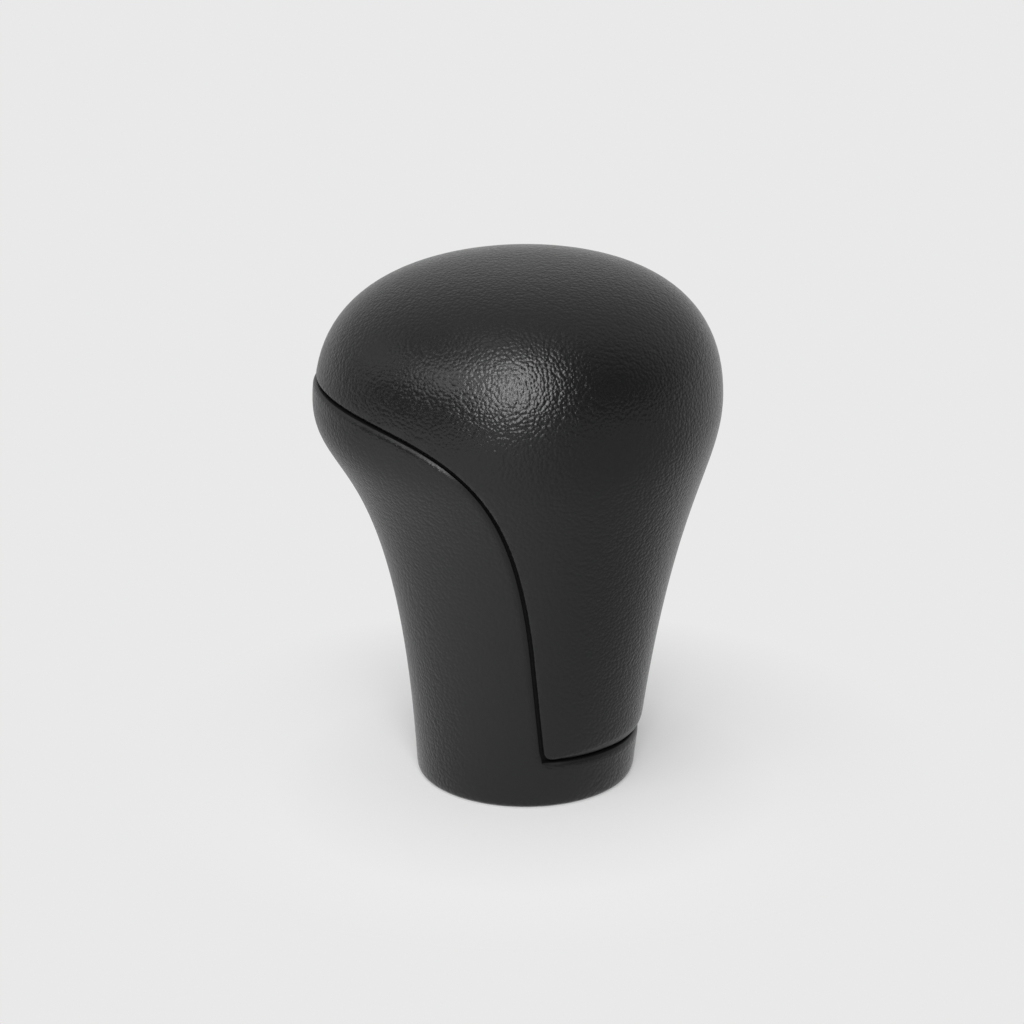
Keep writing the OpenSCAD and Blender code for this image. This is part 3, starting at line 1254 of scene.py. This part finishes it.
@dataclass
class Mouldings:
    """The body with its panel and collar, and the cover."""

    seam: Seam = field(default_factory=Seam)
    shift: float = 0.3
    wall: float = 2.6
    lap_depth: float = 1.3
    lap_l: float = 2.5
    lap_clear: float = 0.15
    lap_foot: float = 1.0
    groove_spare: float = 0.2
    boss_d: float = 5.6
    boss_h: float = 10.0
    boss_sides: int = 48
    web_t: float = 2.4
    web_l: float = 10.0
    web_bite: float = 0.6
    pilot_d: float = 2.4
    pilot_sides: int = 32
    ring_h: float = 8.0
    ring_in_r: float = 8.2
    ring_wall: float = 1.8
    outer: Rings = Rings(144, 44, 40)
    inner: Rings = Rings(72, 20, 14)

    @property
    def form(self) -> KnobForm:
        """The outer form."""
        return self.seam.form

    def _boss(self, turn: float, web_foot: float) -> Body:
        """A screw boss with the web that runs outwards from it.

        Args:
            turn: its angle round the knob.
            web_foot: height of the web's lower edge.

        Returns:
            The closed body.
        """
        top = FLOOR_TOP + self.boss_h
        at = (SCREW_CIRCLE_R * math.cos(turn), SCREW_CIRCLE_R * math.sin(turn))
        boss = Bench.rod("boss", self.boss_d / 2, FLOOR_TOP, top, at, self.boss_sides)
        web = Bench.start("web", bpy.ops.mesh.primitive_cube_add, size=MM)
        middle = SCREW_CIRCLE_R + self.web_l / 2
        web.scale = (self.web_l, self.web_t, top - web_foot)
        web.rotation_euler = (0, 0, turn)
        web.location = Vector((middle * math.cos(turn), middle * math.sin(turn), (top + web_foot) / 2)) * MM
        Bench.settle(web)
        Bench.combine(boss, web, Cut.JOIN)
        radius = self.pilot_d / 2
        pilot = Bench.rod("pilot", radius, FLOOR_TOP - PAST, top - radius, at, self.pilot_sides)
        return Bench.combine(boss, pilot, Cut.REMOVE)

    def _bosses(self, side: Side, web_foot: float) -> Body:
        """A pair of screw bosses with the webs that run into the wall.

        Args:
            side: the moulding that they stand on.
            web_foot: height of the webs' lower edge.

        Returns:
            The closed bodies, as one object.
        """
        turn = math.radians(90 - 45 * side.value)
        left, right = (self._boss(turn * hand, web_foot) for hand in (-1, 1))
        Bench.combine(left, right, Cut.JOIN)
        clip = self.form.loft("clip", self.web_bite * self.lap_depth, self.inner, foot=self.lap_foot)
        return Bench.combine(left, clip, Cut.KEEP)

    @staticmethod
    def _finish(piece: Body, skin: BVHTree) -> Body:
        """Tidies and smooths a moulding, and marks how deep its points lie.

        Args:
            piece: the moulding.
            skin: the uncut form's surface.

        Returns:
            The finished mesh.
        """
        Bench.tidy(piece)
        Bench.smooth(piece)
        mark_depth(piece, skin)
        return piece

    def grip_body(self) -> Body:
        """Cuts the body from the form, with its tongue, hollow, recess and bosses.

        Returns:
            The finished mesh.
        """
        seam, form = self.seam, self.form
        piece = form.loft("grip_body", 0.0, self.outer)
        skin = skin_of(piece)
        groove_depth = self.lap_depth - self.lap_clear
        Bench.combine(piece, seam.half_space("side", Side.BODY, seam.spare - seam.gap / 2), Cut.KEEP)
        Bench.combine(piece, seam.groove("groove", Side.BODY, 0.0, groove_depth), Cut.REMOVE)
        tongue = form.loft("tongue", self.lap_depth, self.inner, foot=self.lap_foot)
        Bench.combine(tongue, seam.half_space("lap", Side.BODY, self.lap_l), Cut.KEEP)
        Bench.combine(piece, tongue, Cut.JOIN)
        Bench.combine(piece, form.loft("hollow", self.wall, self.inner, foot=FLOOR_LOW), Cut.REMOVE)
        recess = Bench.rod("recess", form.base_r - self.wall, -PAST, FLOOR_LOW + PAST)
        Bench.combine(piece, recess, Cut.REMOVE)
        Bench.combine(piece, self._bosses(Side.BODY, FLOOR_TOP), Cut.JOIN)
        return self._finish(piece, skin)

    def top_cover(self) -> Body:
        """Cuts the cover from the form, with its rebate, hollow, bosses and locating ring.

        Returns:
            The finished mesh.
        """
        seam, form = self.seam, self.form
        piece = form.loft("top_cover", 0.0, self.outer, self.shift)
        skin = skin_of(piece)
        groove_depth = self.lap_depth + self.groove_spare
        Bench.combine(piece, seam.half_space("side", Side.COVER, seam.gap / 2 - seam.spare), Cut.KEEP)
        Bench.combine(piece, seam.groove("groove", Side.COVER, self.shift, groove_depth), Cut.REMOVE)
        Bench.combine(piece, form.loft("hollow", self.wall, self.inner, self.shift, -PAST), Cut.REMOVE)
        rebate = form.loft("rebate", self.lap_depth - self.lap_clear, self.inner, foot=-PAST)
        Bench.combine(rebate, seam.half_space("lap", Side.BODY, self.lap_l + self.lap_clear), Cut.KEEP)
        Bench.combine(piece, rebate, Cut.REMOVE)
        web_foot = seam.collar_h + self.lap_l + 2 * self.lap_clear
        Bench.combine(piece, self._bosses(Side.COVER, web_foot), Cut.JOIN)
        low, high = form.height - self.wall - self.ring_h, form.height - self.wall / 2
        ring = Bench.rod("ring", self.ring_in_r + self.ring_wall, low, high)
        Bench.combine(ring, Bench.rod("ring_hole", self.ring_in_r, low - PAST, high + PAST), Cut.REMOVE)
        Bench.combine(piece, ring, Cut.JOIN)
        return self._finish(piece, skin)

    def build(self, finish: GrainedPlastic) -> None:
        """Builds and dresses both mouldings.

        Args:
            finish: their plastic.
        """
        material = finish.material()
        show(self.grip_body(), "grip_body", "moulding", material)
        show(self.top_cover(), "top_cover", "moulding", material)


@dataclass
class Core:
    """The ribbed core: a floor with screw seats, a tube for the insert, four webs and a spigot."""

    floor_r: float = 13.5
    tube_r: float = 7.7
    tube_top: float = 37.4
    tube_fillet: float = 0.8
    fillet_steps: int = 5
    seat_r: float = 6.3
    seat_top: float = 23.5
    clear_r: float = 5.3
    clear_top: float = 36.0
    web_t: float = 2.0
    web_reach: float = 12.8
    shoulder_h: float = 42.0
    spigot_r: float = 8.0
    spigot_foot: float = 69.4
    spigot_top: float = 75.4
    spigot_edge: float = 0.5
    hole_r: float = 1.6
    hole_edge: float = 0.25
    hole_sides: int = 32
    head_seat_r: float = 2.8
    head_seat_h: float = 7.5
    head_seat_sides: int = 48
    edge: float = 0.3
    edge_from: float = math.radians(60)
    edge_segments: int = 2
    sink: float = 0.2

    def _trunk(self) -> Body:
        """The floor and the tube, turned in one, with eased edges and a fillet at the tube's foot.

        Returns:
            The closed body.
        """
        e, fillet = self.edge, self.tube_fillet
        floor = disc(self.floor_r, FLOOR_LOW, FLOOR_TOP, e, e)[:-1]
        foot = []
        for a in steps(0, QUARTER, self.fillet_steps):
            foot.append((self.tube_r + fillet * (1 - math.sin(a)), FLOOR_TOP + fillet * (1 - math.cos(a))))
        rim = [(self.tube_r, self.tube_top - e), (self.tube_r - e, self.tube_top), (0, self.tube_top)]
        return Bench.turned("core", floor + foot + rim)

    def _webs(self, turn: float) -> Body:
        """One pair of webs, as a plate through the axis with eased edges.

        Args:
            turn: its angle round the axis.

        Returns:
            The closed body.
        """
        reach, foot = self.web_reach, FLOOR_TOP - self.sink
        neck, top = self.spigot_r - self.sink, self.spigot_foot + self.sink
        outline = [(-reach, foot), (reach, foot), (reach, self.shoulder_h)]
        outline += [(neck, top), (-neck, top), (-reach, self.shoulder_h)]
        plate = Bench.prism("webs", outline, self.web_t / 2)
        size = {"width": self.edge * MM, "segments": self.edge_segments}
        Bench.apply(plate, "BEVEL", **size, limit_method="ANGLE", angle_limit=self.edge_from)
        plate.rotation_euler = (0, 0, turn)
        Bench.settle(plate)
        return plate

    def _flared(self, radius: float, high: float, at: Point = AXIS, sides: int = ROUND) -> Body:
        """A round cutter from below, which eases the edge of the hole's mouth.

        Args:
            radius: the hole's radius.
            high: height of the hole's end.
            at: X and Y of its axis.
            sides: its number of sides.

        Returns:
            The closed body.
        """
        mouth = radius + self.hole_edge + PAST
        outline = [(0, FLOOR_LOW - PAST), (mouth, FLOOR_LOW - PAST), (radius, FLOOR_LOW + self.hole_edge)]
        return Bench.turned("cutter", outline + [(radius, high), (0, high)], at, sides)

    def build(self, finish: SmoothPlastic) -> None:
        """Builds and dresses the core.

        Args:
            finish: its plastic.
        """
        piece = self._trunk()
        for turn in (0.0, QUARTER):
            Bench.combine(piece, self._webs(turn), Cut.JOIN)
        spigot = disc(self.spigot_r, self.spigot_foot, self.spigot_top, self.edge, self.spigot_edge)
        Bench.combine(piece, Bench.turned("spigot", spigot), Cut.JOIN)
        Bench.combine(piece, self._flared(self.seat_r, self.seat_top), Cut.REMOVE)
        Bench.combine(piece, Bench.rod("clearance", self.clear_r, FLOOR_LOW, self.clear_top), Cut.REMOVE)
        reach = SCREW_CIRCLE_R * math.sqrt(0.5)
        for at in [(x, y) for x in (-reach, reach) for y in (-reach, reach)]:
            seat = self._flared(self.head_seat_r, self.head_seat_h, at, self.head_seat_sides)
            Bench.combine(piece, seat, Cut.REMOVE)
            hole = Bench.rod("hole", self.hole_r, FLOOR_LOW, FLOOR_TOP + PAST, at, self.hole_sides)
            Bench.combine(piece, hole, Cut.REMOVE)
        Bench.tidy(piece)
        Bench.smooth(piece)
        show(piece, "core", "moulding", finish.material())


@dataclass
class Insert:
    """The insert that the lever screws into: two knurled bands, a locking groove and a tapped bore."""

    outer_r: float = 6.28
    length: float = 18.0
    knurl_depth: float = 0.35
    teeth: int = 32
    groove_w: float = 3.0
    core_r: float = 4.25
    thread_r: float = 5.0
    thread_sink: float = 0.05
    pitch: float = 1.5
    chamfer: float = 0.8
    spare: float = 0.1

    def _band(self, low: float, high: float) -> Body:
        """One knurled band with eased ends.

        Args:
            low: height of its lower end.
            high: height of its upper end.

        Returns:
            The closed body.
        """
        band = Bench.rod("band", self.outer_r, low, high, sides=2 * self.teeth)
        step = math.pi / self.teeth
        Bench.edit(band)
        Bench.select(band, lambda p: round(math.atan2(p.y, p.x) / step) % 2 == 1)
        share = 1 - self.knurl_depth / self.outer_r
        bpy.ops.transform.resize(value=(share, share, 1), center_override=(0, 0, 0))
        bpy.ops.object.mode_set(mode="OBJECT")
        ends = disc(self.outer_r + self.spare, low, high, self.knurl_depth, self.knurl_depth)
        return Bench.combine(band, Bench.turned("ends", ends), Cut.KEEP)

    def build(self, finish: TurnedMetal) -> None:
        """Builds and dresses the insert.

        Args:
            finish: its metal.
        """
        low, top = FLOOR_LOW, FLOOR_LOW + self.length
        band_h = (self.length - self.groove_w) / 2
        waist = self.outer_r - 2 * self.knurl_depth
        piece = Bench.rod("lever_insert", waist, low + self.spare, top - self.spare)
        for foot in (low, top - band_h):
            Bench.combine(piece, self._band(foot, foot + band_h), Cut.JOIN)
        mouth = self.thread_r + PAST
        bore = [(0, low - PAST), (mouth, low - PAST), (self.core_r, low + self.chamfer)]
        bore += [(self.core_r, top - self.chamfer), (mouth, top + PAST), (0, top + PAST)]
        Bench.combine(piece, Bench.turned("bore", bore), Cut.REMOVE)
        thread = Thread(self.core_r - self.thread_sink, self.thread_r, self.pitch)
        Bench.combine(piece, thread.wind("ridges", low - PAST, top + PAST), Cut.REMOVE)
        Bench.tidy(piece)
        Bench.smooth(piece)
        show(piece, "lever_insert", "turned", finish.material())


@dataclass
class Screws:
    """Four pan-head self-tapping screws, driven upwards from the recess."""

    head_low: float = 5.7
    head_r: float = 2.6
    head_h: float = 1.8
    head_sides: int = 64
    dome_h: float = 0.7
    dome_steps: int = 8
    edge: float = 0.1
    shank_r: float = 1.15
    shank_l: float = 9.5
    shank_sides: int = 32
    root_r: float = 0.84
    pitch: float = 0.9
    run_out: float = 0.5
    point_share: float = 2.2
    point_spare: float = 0.2
    neck_spare: float = 0.03
    neck_low: float = 1.5
    neck_top: float = 0.8
    cross_w: float = 0.9
    cross_l: float = 3.0
    cross_depth: float = 1.0
    cross_narrow: float = 0.5
    first_turn: float = 20
    next_turn: float = 65

    def _recess(self, turn: float) -> Body:
        """One arm pair of the cross recess, narrowing inwards.

        Args:
            turn: its angle round the screw.

        Returns:
            The closed body.
        """
        arm = Bench.start("arm", bpy.ops.mesh.primitive_cube_add, size=MM)
        arm.scale = (self.cross_l, self.cross_w, 2 * self.cross_depth)
        arm.location = (0, 0, self.head_low * MM)
        arm.rotation_euler = (0, 0, turn)
        Bench.settle(arm)
        Bench.edit(arm)
        Bench.select(arm, lambda p: p.z > self.head_low)
        size = (self.cross_narrow, self.cross_narrow, 1)
        bpy.ops.transform.resize(value=size, center_override=(0, 0, self.head_low * MM))
        bpy.ops.object.mode_set(mode="OBJECT")
        return arm

    def _screw(self) -> Body:
        """One screw on the upright axis.

        Returns:
            The finished mesh.
        """
        low, r, wide = self.head_low, self.head_r, self.shank_r + self.point_spare
        under = low + self.head_h
        top = under + self.shank_l
        angles = steps(0, QUARTER, self.dome_steps)
        dome = [(r * math.sin(a), low + self.dome_h * (1 - math.cos(a))) for a in angles]
        head = dome + [(r, under - self.edge), (r - self.edge, under), (0, under)]
        piece = Bench.turned("screw", head, sides=self.head_sides)
        thread = Thread(self.root_r, self.shank_r, self.pitch, self.shank_sides)
        ridges = thread.wind("ridges", under + self.run_out, top)
        cone = top - self.point_share * self.shank_r
        point = [(0, under), (wide, under), (wide, cone), (self.edge, top), (0, top)]
        Bench.combine(ridges, Bench.turned("point", point, sides=self.shank_sides), Cut.KEEP)
        Bench.combine(piece, ridges, Cut.JOIN)
        neck_r, neck_low, neck_top = self.root_r + self.neck_spare, low + self.neck_low, under + self.neck_top
        Bench.combine(piece, Bench.rod("neck", neck_r, neck_low, neck_top, sides=self.shank_sides), Cut.JOIN)
        for turn in (0.0, QUARTER):
            Bench.combine(piece, self._recess(turn), Cut.REMOVE)
        Bench.tidy(piece)
        return piece

    def build(self, finish: TurnedMetal) -> None:
        """Builds one screw and sets four copies of it in their seats.

        Args:
            finish: their metal.
        """
        material = finish.material()
        model = self._screw()
        reach = SCREW_CIRCLE_R * math.sqrt(0.5)
        places = [(side, name, hand) for side in Side for name, hand in (("left", -1), ("right", 1))]
        for count, (side, name, hand) in enumerate(places):
            screw = Bench.copy(model, "screw")
            screw.rotation_euler = (0, 0, math.radians(self.first_turn + self.next_turn * count))
            screw.location = (side.value * reach * MM, hand * reach * MM, 0)
            Bench.settle(screw)
            Bench.smooth(screw)
            show(screw, f"{side.name.lower()}_screw_{name}", "threaded", material)
        Bench.discard(model)


@dataclass(frozen=True)
class Lamp:
    """A soft rectangular lamp; its place is in degrees right of the front and above the knob's middle."""

    name: str
    azimuth: float
    elevation: float
    size: Point
    power: float


@dataclass
class Studio:
    """Floor, lamps, surround and camera."""

    target: Point3 = (0.0, 0.0, 38.0)
    distance: float = 600.0
    azimuth: float = -8.0
    elevation: float = 21.1
    lens: float = 142.0
    lens_shift: Point = (-0.0129, 0.0178)
    clip_m: Point = (0.05, 20.0)
    floor_r: float = 4000.0
    lamp_target: Point3 = (0.0, 0.0, 45.0)
    lamp_distance: float = 700.0
    lamps: tuple[Lamp, ...] = (
        Lamp("window_low", -10, 18, (240, 200), 1.39),
        Lamp("window_middle", -5, 36, (180, 260), 1.5),
        Lamp("window_high", -10, 52, (240, 200), 0.98),
        Lamp("left_wide", -48, 36, (480, 320), 1.05),
        Lamp("left_side", -95, 30, (300, 400), 0.22),
        Lamp("overhead", -30, 70, (400, 400), 0.4),
    )
    room: float = 0.115
    backdrop_way: Point3 = (0.16, 0.92, 0.36)
    backdrop_from: float = 0.2
    backdrop_rise: float = 1.5
    backdrop_share: float = 0.66

    @staticmethod
    def way(azimuth: float, elevation: float) -> Vector:
        """Unit way to a place, by its degrees right of the studio's front and above the level."""
        a, e = math.radians(azimuth), math.radians(elevation)
        return Vector((math.sin(a) * math.cos(e), -math.cos(a) * math.cos(e), math.sin(e)))

    @staticmethod
    def face(thing: Body, way: Vector) -> None:
        """Turns a lamp or the camera so that it looks back along a way."""
        thing.rotation_mode = "QUATERNION"
        thing.rotation_quaternion = (-way).to_track_quat("-Z", "Y")

    def camera(self) -> None:
        """Places the camera at the photograph's viewing angle."""
        back = self.way(self.azimuth, self.elevation)
        bpy.ops.object.camera_add(location=(Vector(self.target) + back * self.distance) * MM)
        camera = bpy.context.object
        self.face(camera, back)
        camera.data.lens = self.lens
        camera.data.shift_x, camera.data.shift_y = self.lens_shift
        camera.data.clip_start, camera.data.clip_end = self.clip_m
        bpy.context.scene.camera = camera

    def floor(self, finish: PaleGround) -> None:
        """Lays the floor.

        Args:
            finish: its ground tone.
        """
        size = {"vertices": ROUND, "radius": self.floor_r * MM, "location": (0, 0, 0)}
        floor = Bench.start("floor", bpy.ops.mesh.primitive_circle_add, fill_type="NGON", **size)
        floor.data.materials.append(finish.material())

    def hang(self, plan: Lamp) -> None:
        """Hangs a lamp that faces the knob.

        Args:
            plan: its name, place, size and power.
        """
        way = self.way(plan.azimuth, plan.elevation)
        place = Vector(self.lamp_target) + way * self.lamp_distance
        bpy.ops.object.light_add(type="AREA", location=place * MM)
        lamp = bpy.context.object
        lamp.name = plan.name
        lamp.data.shape = "RECTANGLE"
        lamp.data.size, lamp.data.size_y = plan.size[0] * MM, plan.size[1] * MM
        lamp.data.energy = plan.power
        self.face(lamp, way)

    def surround(self) -> None:
        """Sets the world: a pale backdrop behind and above the knob, and a dim room with a soft light."""
        shader = Shader("surround", world=True)
        way = shader.node("ShaderNodeTexCoord", out="Generated")
        behind = shader.vector("DOT_PRODUCT", way, self.backdrop_way, out="Value")
        backdrop = ((behind + self.backdrop_from) * self.backdrop_rise).clamped() * self.backdrop_share
        room, sheet = (
            shader.node("ShaderNodeBackground", {}, {"Color": grey(tone), "Strength": 1.0})
            for tone in (self.room, GROUND_SHADE)
        )
        share = backdrop * shader.mirror() + shader.rays("Is Camera Ray")
        bpy.context.scene.world = shader.finish(shader.either(share, room, sheet))

    def build(self, ground: PaleGround) -> None:
        """Sets up the whole studio.

        Args:
            ground: the floor's finish.
        """
        self.floor(ground)
        self.surround()
        for plan in self.lamps:
            self.hang(plan)
        self.camera()
        log.info("studio: floor, %d lamps and camera", len(self.lamps))


def main() -> None:
    """Loads the frame and dresses it."""
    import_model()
    bpy.context.scene.view_settings.view_transform = "Standard"
    Mouldings().build(GrainedPlastic())
    Core().build(SmoothPlastic())
    Insert().build(TurnedMetal("insert_brass", (0.75, 0.55, 0.25, 1.0), (0.6, 0.42, 0.18, 1.0), 0.26))
    Screws().build(TurnedMetal("screw_steel", (0.66, 0.66, 0.68, 1.0), (0.5, 0.5, 0.53, 1.0), 0.24))
    Studio().build(PaleGround())
    Bench.pick()


if __name__ == "__main__":
    logging.basicConfig(level=logging.INFO, format="%(message)s")
    main()
